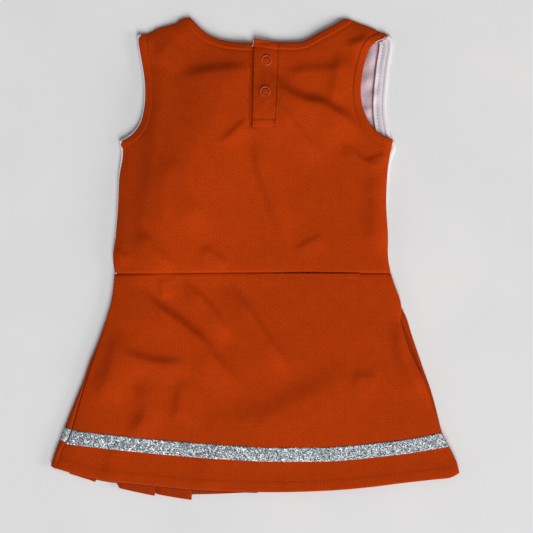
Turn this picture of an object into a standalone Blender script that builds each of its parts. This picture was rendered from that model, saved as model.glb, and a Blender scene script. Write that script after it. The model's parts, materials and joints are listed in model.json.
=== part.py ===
"""A toddler's sleeveless cheer dress, laid flat on its front with its back up.

+Z is up and +Y runs from the hem to the neck. The origin is on the surface that the dress lies on,
under the middle of the dress. Every length below is in millimetres, and becomes metres when a shape
is made. "Left" and "right" are the -X and +X sides as seen from above.
"""

import math

import bmesh
import bpy
from mathutils import Matrix, Vector

MM = 0.001

# Cloth, and the gap that separate pieces keep.
KNIT = 0.8  # thickness of a body panel
PLEAT_KNIT = 0.6  # thickness of the lighter pleated panel
FACING = 0.5  # thickness of a turned facing
TAPE = 0.35  # thickness of the glitter tape
GAP = 0.3

# Heights of the middle of the cloth above the surface.
FRONT_MID = KNIT / 2  # the front bodice lies on the surface
SEAM_MID = 3.3  # the back panels, where they meet a side or shoulder seam
CROWN_MID = 8.1  # the back bodice away from its seams
SKIRT_RISE = 2.3  # how much higher the back skirt lies over the pleats
SKIRT_RISE_LENGTH = 70.0
SEAM_REACH = 36.0  # how far from a seam the cloth takes to reach its full height

# Outline of the bodice, from above.
WAIST_Y = -12.6
SIDE_LEFT = [(-126.5, WAIST_Y), (-128, 3), (-124.5, 35), (-123, 72), (-120, 94), (-122, 104.5)]
SIDE_RIGHT = [(121, WAIST_Y), (118, 4), (116.5, 48), (117.5, 75), (120, 94), (122.9, 105)]
ARMHOLE_LEFT = [(-122, 104.5), (-107.6, 115.7), (-101, 130), (-99.3, 150), (-101, 170), (-105.5, 200)]
ARMHOLE_RIGHT = [(122.9, 105), (107.6, 115.7), (97, 133), (94, 152), (97.7, 175), (104, 191), (115, 199.5)]
SHOULDER_LEFT = [(-105.5, 200), (-89, 207.5), (-74, 211), (-63.5, 217.2)]
SHOULDER_RIGHT = [(79.5, 215.8), (92.8, 211.3), (103, 207.5), (115, 199.5)]
NECK_BACK = [(-63.5, 217.2), (-54, 209), (-41, 201.5), (-27, 196.8), (7, 195), (40, 195), (52, 198), (67, 208), (79.5, 215.8)]

# The front bodice has slid to the right under the back, so its right armhole shows past it.
FRONT_SIDE_RIGHT = [(121, WAIST_Y), (118, 4), (117, 48), (119, 72), (122, 89), (126, 101)]
FRONT_ARMHOLE_LEFT = [(-122, 104.5), (-104, 113), (-95, 130), (-93, 150), (-96, 172), (-105.5, 200)]
FRONT_ARMHOLE_RIGHT = [(126, 101), (120.5, 111), (118, 130), (118, 150), (121, 173), (123.5, 190), (115, 199.5)]
NECK_FRONT = [(-63.5, 217.2), (-52, 190), (-28, 165), (8, 157), (44, 165), (67, 190), (79.5, 215.8)]

# Outline of the skirt, from the waist down.
SKIRT_LEFT = [(-126.5, WAIST_Y), (-128, -30), (-137, -62), (-150, -95), (-168, -143), (-179, -172), (-183, -187.5)]
SKIRT_RIGHT = [(121, WAIST_Y), (127, -30), (139, -62), (152, -96), (164, -143), (176, -173), (183, -191)]
BACK_SKIRT_LEFT = [(-123.2, WAIST_Y), (-124.7, -30), (-133.5, -62), (-146, -95), (-163.4, -143), (-174, -172), (-178, -188)]
BACK_SKIRT_RIGHT = [(121, WAIST_Y), (126, -30), (130, -55), (142, -90), (157, -122), (164, -145), (176, -174), (182.5, -191)]
HEM_LOWEST = (10, -209.5)
HEM_RADIUS = 813.0  # the hem is an arc of a wide circle
SEAM_ALLOWANCE = 5.0

# Pleats of the front skirt, the same on both sides. Distances from the middle, at the hem.
INNER_FOLDS = (142, 89, 55)  # the folds that show inside the skirt
PLEAT_DEPTH = 22.0  # from each inner fold out to its outer fold
WRAP = 4.0  # how far the front skirt turns on to the back at the left side
PLEAT_DROP = 4.5  # how much lower a pleat's inner corner hangs
FRONT_DROP = 5.5  # how much lower the front hem hangs on the left
FACE_MID = TAPE + GAP + PLEAT_KNIT / 2
RETURN_MID = FACE_MID + PLEAT_KNIT + GAP + 0.1
UNDERLAY_MID = RETURN_MID + PLEAT_KNIT + 2 * TAPE + 2 * GAP + 0.25

# Glitter tape, measured up from the hem.
BAND_LOW = 27.0
BAND_HIGH = 39.8

# The back neck placket and its two snaps.
PLACKET_LEFT = -3.4
PLACKET_RIGHT = 17.0  # the stitch line that the flap opens about
PLACKET_FOOT = 118.5  # bottom of the stitched box
PLACKET_BOX_TOP = 127.0  # the flap is free above this
PLACKET_TOP = 196.2
SNAP_X = 9.4
SNAP_UPPER_Y = 178.8
SNAP_LOWER_Y = 150.0
SNAP_RADIUS = 4.9
SNAP_EYE_RADIUS = 2.4
SOCKET_RADIUS = 4.4
SOCKET_BORE = 2.2
POST_RADIUS = 1.4
FLAP_MID = CROWN_MID
UNDERLAP_MID = 5.0
HINGE_Z = 9.2

TURNED_STEPS = 18


# --- materials ---------------------------------------------------------------------------------


def make_material(name, colour, roughness, metallic=0.0):
    material = bpy.data.materials.new(name)
    material.use_nodes = True
    shader = material.node_tree.nodes["Principled BSDF"]
    shader.inputs["Base Color"].default_value = (*colour, 1)
    shader.inputs["Roughness"].default_value = roughness
    shader.inputs["Metallic"].default_value = metallic
    return material


# --- curves and surfaces -----------------------------------------------------------------------


def smooth_line(points, spacing=3.0):
    """A Catmull-Rom curve through the points, as a list of close points."""
    knots = [Vector(p) for p in points]
    ends = [2 * knots[0] - knots[1], *knots, 2 * knots[-1] - knots[-2]]
    line = []
    for before, start, end, after in zip(ends, ends[1:], ends[2:], ends[3:]):
        steps = max(2, round((end - start).length / spacing))
        for i in range(steps):
            t = i / steps
            line.append(
                0.5
                * (
                    2 * start
                    + (end - before) * t
                    + (2 * before - 5 * start + 4 * end - after) * t**2
                    + (3 * start - before - 3 * end + after) * t**3
                )
            )
    return [*line, knots[-1]]


def at_share(line, share):
    """The point at a share, 0 to 1, of a line's length."""
    lengths = [(b - a).length for a, b in zip(line, line[1:])]
    left = max(0.0, min(1.0, share)) * sum(lengths)
    for a, b, length in zip(line, line[1:], lengths):
        if left <= length:
            return a.lerp(b, left / length)
        left -= length
    return line[-1].copy()


def joined(*stretches):
    """A boundary made of smooth stretches, each with its share: [(share where it ends, line), ...]."""

    def point(t):
        start = 0.0
        for end, line in stretches:
            if t <= end + 1e-9:
                return at_share(line, (t - start) / (end - start))
            start = end
        return stretches[-1][1][-1].copy()

    return point


def between(bottom, top, left, right):
    """The Coons surface inside four boundaries, as a function of u across and v up."""

    def point(u, v):
        corners = (
            bottom(0) * (1 - u) * (1 - v)
            + bottom(1) * u * (1 - v)
            + top(0) * (1 - u) * v
            + top(1) * u * v
        )
        return bottom(u) * (1 - v) + top(u) * v + left(v) * (1 - u) + right(v) * u - corners

    return point


def distance_to(line, point):
    best = math.inf
    for a, b in zip(line, line[1:]):
        along = b - a
        t = max(0.0, min(1.0, (point - a).dot(along) / along.length_squared))
        best = min(best, (a + along * t - point).length)
    return best


LINES = {
    name: smooth_line(points)
    for name, points in {
        "side_left": SIDE_LEFT,
        "side_right": SIDE_RIGHT,
        "armhole_left": ARMHOLE_LEFT,
        "armhole_right": ARMHOLE_RIGHT,
        "shoulder_left": SHOULDER_LEFT,
        "shoulder_right": SHOULDER_RIGHT,
        "neck_back": NECK_BACK,
        "front_side_right": FRONT_SIDE_RIGHT,
        "front_armhole_left": FRONT_ARMHOLE_LEFT,
        "front_armhole_right": FRONT_ARMHOLE_RIGHT,
        "neck_front": NECK_FRONT,
        "skirt_left": SKIRT_LEFT,
        "skirt_right": SKIRT_RIGHT,
        "back_skirt_left": BACK_SKIRT_LEFT,
        "back_skirt_right": BACK_SKIRT_RIGHT,
    }.items()
}
SEWN = ("side_left", "side_right", "shoulder_left", "shoulder_right", "back_skirt_left", "back_skirt_right")


def ease(t):
    """Rises fast from 0 and flattens out at 1."""
    t = max(0.0, min(1.0, t))
    return t * (2 - t)


def back_height(x, y):
    """Height of the middle of the back's cloth: low at the sewn edges, and rounded up between them."""
    away = min(distance_to(LINES[name], Vector((x, y))) for name in SEWN)
    rise = SKIRT_RISE * max(0.0, min(1.0, (WAIST_Y - y) / SKIRT_RISE_LENGTH))
    return SEAM_MID + rise + (CROWN_MID - SEAM_MID) * ease(away / SEAM_REACH)


def front_height(x, y):
    return FRONT_MID


def hem_y(x):
    return HEM_LOWEST[1] + HEM_RADIUS - math.sqrt(HEM_RADIUS**2 - (x - HEM_LOWEST[0]) ** 2)


# --- objects -----------------------------------------------------------------------------------


def new_object(name, mesh, material, collection):
    mesh.materials.append(material)
    obj = bpy.data.objects.new(name, mesh)
    collection.objects.link(obj)
    return obj


def cloth(name, columns, rows, place, thickness, material, collection):
    """A sheet of cloth. place(i, j) gives the middle of the cloth at column i and row j."""
    mesh = bpy.data.meshes.new(name)
    sheet = bmesh.new()
    bmesh.ops.create_grid(sheet, x_segments=columns, y_segments=rows, size=0.5)
    for vertex in sheet.verts:
        column = round((vertex.co.x + 0.5) * columns)
        row = round((vertex.co.y + 0.5) * rows)
        vertex.co = Vector(place(column, row)) * MM
    bmesh.ops.recalc_face_normals(sheet, faces=sheet.faces)
    sheet.to_mesh(mesh)
    sheet.free()
    obj = new_object(name, mesh, material, collection)
    solidify = obj.modifiers.new("thickness", "SOLIDIFY")
    solidify.thickness = thickness * MM
    solidify.offset = 0
    solidify.use_even_offset = True
    return obj


def panel(name, surface, height, columns, rows, thickness, material, collection):
    """A cloth panel that fills an outline, at a height given for each point."""

    def place(column, row):
        x, y = surface(column / columns, row / rows)
        return x, y, height(x, y)

    return cloth(name, columns, rows, place, thickness, material, collection)


def strip(name, line, start, end, inner, outer, lift, height, steps, thickness, material, collection):
    """A flat strip that runs inside an outline, from its share start to end, lift above the cloth.

    inner and outer are its edges' distances in from the line, which has the cloth on its left.
    """

    def place(column, row):
        share = start + (end - start) * column / steps
        here = at_share(line, share)
        along = (at_share(line, min(1, share + 0.02)) - at_share(line, max(0, share - 0.02))).normalized()
        inward = Vector((-along.y, along.x))
        x, y = here + inward * (inner if row else outer)
        return x, y, height(x, y) + lift

    return cloth(name, steps, 1, place, thickness, material, collection)


def box(name, low, high, material, collection):
    mesh = bpy.data.meshes.new(name)
    block = bmesh.new()
    bmesh.ops.create_cube(block, size=1)
    size = [b - a for a, b in zip(low, high)]
    middle = Vector([(a + b) / 2 for a, b in zip(low, high)])
    bmesh.ops.scale(block, vec=Vector(size) * MM, verts=block.verts)
    bmesh.ops.translate(block, vec=middle * MM, verts=block.verts)
    block.to_mesh(mesh)
    block.free()
    return new_object(name, mesh, material, collection)


def turned(name, profile, centre, material, collection, parent=None):
    """A round piece turned from a profile of (radius, height) points that run round its section."""
    mesh = bpy.data.meshes.new(name)
    section = bmesh.new()
    points = [section.verts.new(Vector((r, 0, z)) * MM) for r, z in profile]
    edges = [section.edges.new(pair) for pair in zip(points, points[1:] + points[:1])]
    bmesh.ops.spin(
        section,
        geom=points + edges,
        cent=(0, 0, 0),
        axis=(0, 0, 1),
        angle=math.tau,
        steps=TURNED_STEPS,
        use_merge=True,
    )
    bmesh.ops.remove_doubles(section, verts=section.verts, dist=1e-6)
    bmesh.ops.recalc_face_normals(section, faces=section.faces)
    section.to_mesh(mesh)
    section.free()
    mesh.shade_smooth()
    mesh.set_sharp_from_angle(angle=math.radians(40))
    obj = new_object(name, mesh, material, collection)
    obj.location = Vector(centre) * MM
    if parent:
        obj.parent = parent
        obj.matrix_parent_inverse = Matrix.Translation(-parent.location)
    return obj


def hinge(name, place, collection):
    """An empty on a joint's axis, which carries the pieces that the joint moves."""
    empty = bpy.data.objects.new(name, None)
    empty.location = Vector(place) * MM
    collection.objects.link(empty)
    return empty


def carry(parent, pieces):
    for piece in pieces:
        piece.parent = parent
        piece.matrix_parent_inverse = Matrix.Translation(-parent.location)


# --- bodice ------------------------------------------------------------------------------------


def straight(start, end):
    return joined((1.0, [Vector(start), Vector(end)]))


def raised(boundary, amount):
    """A boundary moved along Y, to leave a gap at the waist seam."""
    return lambda t: boundary(t) + Vector((0, amount))


def bodice_surface(side_left, side_right, armhole_left, armhole_right, neck):
    """A bodice panel's outline. Half of each side is seam and half armhole, and a fifth of the top is
    each shoulder."""
    waist_left, waist_right = LINES[side_left][0], LINES[side_right][0]
    lift = Vector((0, GAP / 2))
    bottom = joined((1.0, [waist_left + lift, waist_right + lift]))
    top = joined((0.2, LINES["shoulder_left"]), (0.8, LINES[neck]), (1.0, LINES["shoulder_right"]))
    left = joined((0.5, LINES[side_left]), (1.0, LINES[armhole_left]))
    right = joined((0.5, LINES[side_right]), (1.0, LINES[armhole_right]))
    surface = between(bottom, top, left, right)

    def above_waist(u, v):
        x, y = surface(u, v)
        return Vector((x, max(y, WAIST_Y + GAP / 2)))

    return above_waist


def make_bodice(materials, collection, cutters):
    orange, white = materials["orange_knit"], materials["white_knit"]
    surface = bodice_surface("side_left", "side_right", "armhole_left", "armhole_right", "neck_back")
    back = panel("back_bodice", surface, back_height, 20, 16, KNIT, orange, collection)
    notch = box(
        "placket_cutter",
        (PLACKET_LEFT - GAP, PLACKET_FOOT - GAP, 0),
        (PLACKET_RIGHT + GAP, 2 * PLACKET_TOP, 4 * CROWN_MID),
        orange,
        cutters,
    )
    notch.hide_render = True
    notch.display_type = "WIRE"
    cut = back.modifiers.new("placket opening", "BOOLEAN")
    cut.operation = "DIFFERENCE"
    cut.object = notch

    surface = bodice_surface(
        "side_left", "front_side_right", "front_armhole_left", "front_armhole_right", "neck_front"
    )
    panel("front_bodice", surface, front_height, 20, 12, KNIT, white, collection)


def make_facings(materials, collection):
    """The turned edges of the neck and armholes, inside the dress, 7 mm wide."""
    orange, white = materials["orange_knit"], materials["white_knit"]
    under = -(KNIT / 2 + 2 * GAP + FACING / 2)
    neck = LINES["neck_back"][::-1]
    length = LINES["neck_back"][-1].x - LINES["neck_back"][0].x
    left_end = (PLACKET_LEFT - 11 - LINES["neck_back"][0].x) / length
    right_end = (PLACKET_RIGHT + 1 - LINES["neck_back"][0].x) / length
    back_edges = (
        ("back_neck_facing_left", neck, 1 - left_end, 0.9, 6),
        ("back_neck_facing_right", neck, 0.1, 1 - right_end - 0.02, 6),
        ("back_armhole_facing_left", LINES["armhole_left"][::-1], 0.08, 0.92, 9),
        ("back_armhole_facing_right", LINES["armhole_right"], 0.08, 0.92, 9),
    )
    for name, line, start, end, steps in back_edges:
        strip(name, line, start, end, 7.5, 0.5, under, back_height, steps, FACING, orange, collection)
    over = KNIT / 2 + GAP + FACING / 2
    front_edges = (
        ("front_neck_facing", LINES["neck_front"][::-1], 0.06, 0.94, 14),
        ("front_armhole_facing_left", LINES["front_armhole_left"][::-1], 0.08, 0.92, 9),
        ("front_armhole_facing_right", LINES["front_armhole_right"], 0.08, 0.92, 9),
    )
    for name, line, start, end, steps in front_edges:
        strip(name, line, start, end, 10.5, 0.5, over, front_height, steps, FACING, white, collection)


def make_bodice_seams(materials, collection):
    """The overlocked seam allowances that join front and back, and the care label sewn into one."""
    orange = materials["orange_knit"]
    level = FRONT_MID + KNIT / 2 + GAP + 0.2
    seams = (
        ("side_seam_left", LINES["side_left"][::-1], 0.06, 0.94, 6),
        ("side_seam_right", LINES["side_right"], 0.06, 0.94, 6),
        ("shoulder_seam_left", LINES["shoulder_left"][::-1], 0.1, 0.9, 4),
        ("shoulder_seam_right", LINES["shoulder_right"][::-1], 0.1, 0.9, 4),
    )
    for name, line, start, end, steps in seams:
        strip(
            name, line, start, end, 1 + SEAM_ALLOWANCE, 1, 0, lambda x, y: level, steps, 0.4, orange, collection
        )
    label_x, label_y = SIDE_LEFT[2][0] + SEAM_ALLOWANCE + 3, SIDE_LEFT[2][1]
    box(
        "care_label",
        (label_x, label_y, level - 0.15),
        (label_x + 26, label_y + 18, level + 0.15),
        materials["white_satin"],
        collection,
    )


# --- placket and snaps -------------------------------------------------------------------------


def flap_height(x, y):
    return FLAP_MID


def make_placket(materials, collection):
    """The fixed under strip and stitched end of the placket, and its bartack."""
    orange = materials["orange_knit"]
    # The under strip starts below the left panel's edge and steps down to lie under the flap.
    section = [
        (PLACKET_LEFT - 8.5, CROWN_MID - KNIT - GAP),
        (PLACKET_LEFT - 1.5, CROWN_MID - KNIT - GAP),
        (PLACKET_LEFT + 2.2, UNDERLAP_MID),
        (PLACKET_RIGHT - 2.0, UNDERLAP_MID),
    ]

    def place(column, row):
        x, z = section[column]
        return x, PLACKET_FOOT + 1 if row == 0 else NECK_BACK[4][1], z

    cloth("placket_underlap", len(section) - 1, 1, place, KNIT, orange, collection)
    half = KNIT / 2
    box(
        "placket_overlap_tail",
        (PLACKET_LEFT, PLACKET_FOOT, FLAP_MID - half),
        (PLACKET_RIGHT, PLACKET_BOX_TOP - GAP, FLAP_MID + half),
        orange,
        collection,
    )
    top = FLAP_MID + half + GAP
    box(
        "placket_bartack",
        (PLACKET_RIGHT - 2, PLACKET_FOOT + 0.8, top),
        (PLACKET_RIGHT - 1, PLACKET_BOX_TOP - 1, top + 0.35),
        materials["thread"],
        collection,
    )


def make_flap(materials, collection):
    """The free flap of the placket, which opens about its stitch line, with its neck facing."""
    orange = materials["orange_knit"]
    half = KNIT / 2
    flap = box(
        "placket_overlap",
        (PLACKET_LEFT, PLACKET_BOX_TOP, FLAP_MID - half),
        (PLACKET_RIGHT, PLACKET_TOP, FLAP_MID + half),
        orange,
        collection,
    )
    facing = box(
        "flap_neck_facing",
        (PLACKET_LEFT + 0.5, PLACKET_TOP - 7.5, FLAP_MID - half - GAP - FACING),
        (PLACKET_RIGHT - 1.5, PLACKET_TOP - 0.5, FLAP_MID - half - GAP),
        orange,
        collection,
    )
    return [flap, facing]


def make_snaps(materials, collection):
    """Two ring snaps. Returns the parts on the flap, whose cap rings show on top."""
    enamel = materials["snap_enamel"]
    half = KNIT / 2
    cap_base = FLAP_MID + half + GAP
    ring = [
        (SNAP_EYE_RADIUS, 0),
        (SNAP_EYE_RADIUS, 0.35),
        (SNAP_EYE_RADIUS + 0.6, 0.6),
        (SNAP_RADIUS - 0.9, 0.6),
        (SNAP_RADIUS, 0.3),
        (SNAP_RADIUS, 0),
    ]
    socket_top = FLAP_MID - half - GAP
    socket = [(SOCKET_BORE, -1), (SOCKET_BORE, 0), (SOCKET_RADIUS, 0), (SOCKET_RADIUS, -0.6), (SOCKET_RADIUS - 0.8, -1)]
    stud_base = UNDERLAP_MID + half + GAP
    stud = [(0, 0), (0, 1.3), (POST_RADIUS - 0.4, 1.3), (POST_RADIUS, 1.0), (POST_RADIUS, 0.4), (SOCKET_RADIUS, 0.4), (SOCKET_RADIUS, 0)]
    back_ring = [(r, -z * 0.8) for r, z in ring]
    back_top = UNDERLAP_MID - half - GAP
    on_flap = []
    for label, y in (("upper", SNAP_UPPER_Y), ("lower", SNAP_LOWER_Y)):
        on_flap.append(turned(f"snap_cap_ring_{label}", ring, (SNAP_X, y, cap_base), enamel, collection))
        on_flap.append(turned(f"snap_socket_{label}", socket, (SNAP_X, y, socket_top), enamel, collection))
        turned(f"snap_stud_{label}", stud, (SNAP_X, y, stud_base), enamel, collection)
        turned(f"snap_stud_ring_{label}", back_ring, (SNAP_X, y, back_top), enamel, collection)
    return on_flap


# --- skirt -------------------------------------------------------------------------------------


def skirt_surface(left_name, right_name):
    """A skirt panel's outline. v is 0 at the hem and 1 at the waist."""
    left, right = LINES[left_name], LINES[right_name]

    def hem(u):
        x = left[-1].x + (right[-1].x - left[-1].x) * u
        return Vector((x, hem_y(x)))

    lower = Vector((0, -GAP / 2))
    waist = joined((1.0, [left[0] + lower, right[0] + lower]))
    surface = between(hem, waist, joined((1.0, left[::-1])), joined((1.0, right[::-1])))

    def below_waist(u, v):
        x, y = surface(u, v)
        return Vector((x, min(y, WAIST_Y - GAP / 2)))

    return below_waist


def pleat_path():
    """The front skirt's cloth from left to right at the hem: (x from the middle, height, drop)."""
    half = SKIRT_RIGHT[-1][0]
    side = [(half - 0.6, FACE_MID, 0), (half - 5.5, FACE_MID, 0), (half - 15, UNDERLAY_MID, 0)]
    for inner, following in zip(INNER_FOLDS, (*INNER_FOLDS[1:], None)):
        outer = inner + PLEAT_DEPTH
        side += [
            (inner, UNDERLAY_MID, PLEAT_DROP),
            (inner, RETURN_MID, PLEAT_DROP),
            (outer, RETURN_MID, 0),
            (outer, FACE_MID, 0),
        ]
        if following:
            side += [(inner - 2, FACE_MID, 0), (following + PLEAT_DEPTH + 2, UNDERLAY_MID, 1)]
    wrap = [(-half + WRAP, SEAM_MID, 0), (-half + 0.6, SEAM_MID, 0)]
    left = wrap + [(-x, z, drop) for x, z, drop in side]
    right = [(x, z, 0.3 * drop) for x, z, drop in reversed(side)]
    middle = [(x, FACE_MID, 0) for x in (-INNER_FOLDS[-1] / 2, 0, INNER_FOLDS[-1] / 2)]
    return left + middle + right


def front_drop(x):
    """How much lower than the back the front hem hangs: it has slid down on the left."""
    return FRONT_DROP * max(0.0, min(1.0, -x / INNER_FOLDS[-1])) - 1.5 * max(0.0, min(1.0, x / 60))


def pleated_row(surface, path, v):
    """The path's points across the skirt at the share v of the way up from the hem."""
    half = SKIRT_RIGHT[-1][0]
    row = []
    for x, z, drop in path:
        place = surface((x / half + 1) / 2, v)
        lower = (drop + front_drop(x)) * (1 - v) ** 2
        row.append((place.x, place.y - lower, z))
    return row


def offset_row(row, amount):
    """The row moved sideways in X and Z by amount, to its right as it runs, with its corners kept."""
    moved = []
    for i, (x, y, z) in enumerate(row):
        before = Vector((x - row[i - 1][0], z - row[i - 1][2])) if i else None
        after = Vector((row[i + 1][0] - x, row[i + 1][2] - z)) if i + 1 < len(row) else None
        before = (before or after).normalized()
        after = (after or before).normalized()
        side = Vector((before.y, -before.x)) + Vector((after.y, -after.x))
        side = side.normalized() * amount / max(0.5, math.cos(before.angle(after) / 2))
        moved.append((x + side.x, y, z + side.y))
    return moved


def make_skirt(materials, collection):
    orange, glitter = materials["orange_knit"], materials["glitter_tape"]
    back_surface = skirt_surface("back_skirt_left", "back_skirt_right")
    pieces = [panel("back_skirt", back_surface, back_height, 18, 12, KNIT, orange, collection)]

    front_surface = skirt_surface("skirt_left", "skirt_right")
    path = pleat_path()
    rows = 8

    def front_place(column, row):
        return pleated_row(front_surface, path, row / rows)[column]

    pieces.append(
        cloth("front_skirt", len(path) - 1, rows, front_place, PLEAT_KNIT, orange, collection)
    )

    def back_band_place(column, row):
        x = back_surface(column / 18, 0.16).x
        edge = 2.5
        x = max(back_surface(0, 0.16).x + edge, min(back_surface(1, 0.16).x - edge, x))
        y = hem_y(x) + (BAND_HIGH if row else BAND_LOW)
        return x, y, back_height(x, y) + KNIT / 2 + GAP + TAPE / 2 + 0.15

    pieces.append(cloth("glitter_tape_back", 18, 1, back_band_place, TAPE, glitter, collection))

    skirt_length = WAIST_Y - HEM_LOWEST[1]
    below = PLEAT_KNIT / 2 + GAP + TAPE / 2
    taped = path[2:]

    def front_band_place(column, row):
        share = (BAND_HIGH if row else BAND_LOW) / skirt_length
        return offset_row(pleated_row(front_surface, taped, share), below)[column]

    pieces.append(
        cloth("glitter_tape_front", len(taped) - 1, 1, front_band_place, TAPE, glitter, collection)
    )
    return pieces


def make_skirt_seams(materials, collection):
    """The overlocked seam allowances inside the skirt, at both sides and along the waist."""
    orange = materials["orange_knit"]
    side_level = FACE_MID + PLEAT_KNIT / 2 + GAP + 0.2
    pieces = []
    for side, line in (("left", LINES["skirt_left"]), ("right", LINES["skirt_right"][::-1])):
        name = f"skirt_side_seam_{side}"
        pieces.append(strip(name, line, 0.25, 0.88, 4.3, 2.6, 0, lambda x, y: side_level, 12, 0.4, orange, collection))
    columns = 14
    under = KNIT / 2 + GAP + FACING / 2 + 0.1

    def back_waist_place(column, row):
        x = -98 + 192 * column / columns
        y = WAIST_Y - 1 - SEAM_ALLOWANCE * (1 - row)
        return x, y, back_height(x, y) - under

    pieces.append(cloth("waist_seam_back", columns, 1, back_waist_place, FACING, orange, collection))
    return pieces


def main():
    for obj in list(bpy.data.objects):
        bpy.data.objects.remove(obj)
    collection = bpy.data.collections.new("cheer_dress")
    cutters = bpy.data.collections.new("cutters")
    for group in (collection, cutters):
        bpy.context.scene.collection.children.link(group)
    materials = {
        "orange_knit": make_material("orange_knit", (0.39, 0.037, 0.004), 0.9),
        "white_knit": make_material("white_knit", (0.75, 0.72, 0.74), 0.9),
        "white_satin": make_material("white_satin", (0.8, 0.8, 0.8), 0.5),
        "glitter_tape": make_material("glitter_tape", (0.42, 0.44, 0.46), 0.4, 0.6),
        "snap_enamel": make_material("snap_enamel", (0.42, 0.05, 0.01), 0.3),
        "thread": make_material("thread", (0.45, 0.06, 0.01), 0.7),
    }
    make_bodice(materials, collection, cutters)
    make_facings(materials, collection)
    make_bodice_seams(materials, collection)
    make_placket(materials, collection)
    flap_pieces = make_flap(materials, collection) + make_snaps(materials, collection)
    skirt_pieces = make_skirt(materials, collection) + make_skirt_seams(materials, collection)
    flap_hinge = hinge("placket_hinge", (PLACKET_RIGHT, SNAP_LOWER_Y, HINGE_Z), collection)
    waist_hinge = hinge("waist_hinge", (0, WAIST_Y, HINGE_Z), collection)
    carry(flap_hinge, flap_pieces)
    carry(waist_hinge, skirt_pieces)


main()
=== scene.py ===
import json
import math
from functools import partial

import bmesh
import bpy
import numpy as np
from mathutils import Matrix, Vector


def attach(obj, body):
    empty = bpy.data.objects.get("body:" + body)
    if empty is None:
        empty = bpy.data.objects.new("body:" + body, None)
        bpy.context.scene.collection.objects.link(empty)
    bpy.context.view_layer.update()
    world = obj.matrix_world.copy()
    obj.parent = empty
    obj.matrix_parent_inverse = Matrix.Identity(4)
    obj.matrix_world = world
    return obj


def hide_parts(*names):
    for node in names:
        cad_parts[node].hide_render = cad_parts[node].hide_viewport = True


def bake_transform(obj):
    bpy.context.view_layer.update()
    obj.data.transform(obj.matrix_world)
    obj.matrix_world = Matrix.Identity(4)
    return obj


# A toddler's cheer dress, laid flat on its front. Lengths are in millimetres and become metres in the
# meshes. +Y runs from the hem to the neck, +Z is up, and left and right are -X and +X.

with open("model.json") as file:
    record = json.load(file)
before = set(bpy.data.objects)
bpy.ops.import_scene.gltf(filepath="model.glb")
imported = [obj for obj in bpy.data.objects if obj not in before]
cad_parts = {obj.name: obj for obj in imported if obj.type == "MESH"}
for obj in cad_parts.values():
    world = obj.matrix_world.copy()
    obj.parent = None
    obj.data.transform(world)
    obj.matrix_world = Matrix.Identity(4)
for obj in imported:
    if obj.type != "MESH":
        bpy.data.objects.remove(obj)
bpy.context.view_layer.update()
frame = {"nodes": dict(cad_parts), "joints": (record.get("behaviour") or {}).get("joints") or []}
MM = 0.001

KNIT = 0.9  # thickness of the body knit
PLEAT_KNIT = 0.6  # thickness of the pleated panel
FACING = 0.5  # thickness of a turned facing
TAPE = 0.45  # thickness of the glitter tape
STITCH_LINE = 6.8  # topstitching, in from a turned edge
HEM_STITCH_LINE = 9.0  # the same, at the hem
SKIRT_LENGTH = 190  # from the waist seam to the hem

# --- outlines ---

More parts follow.
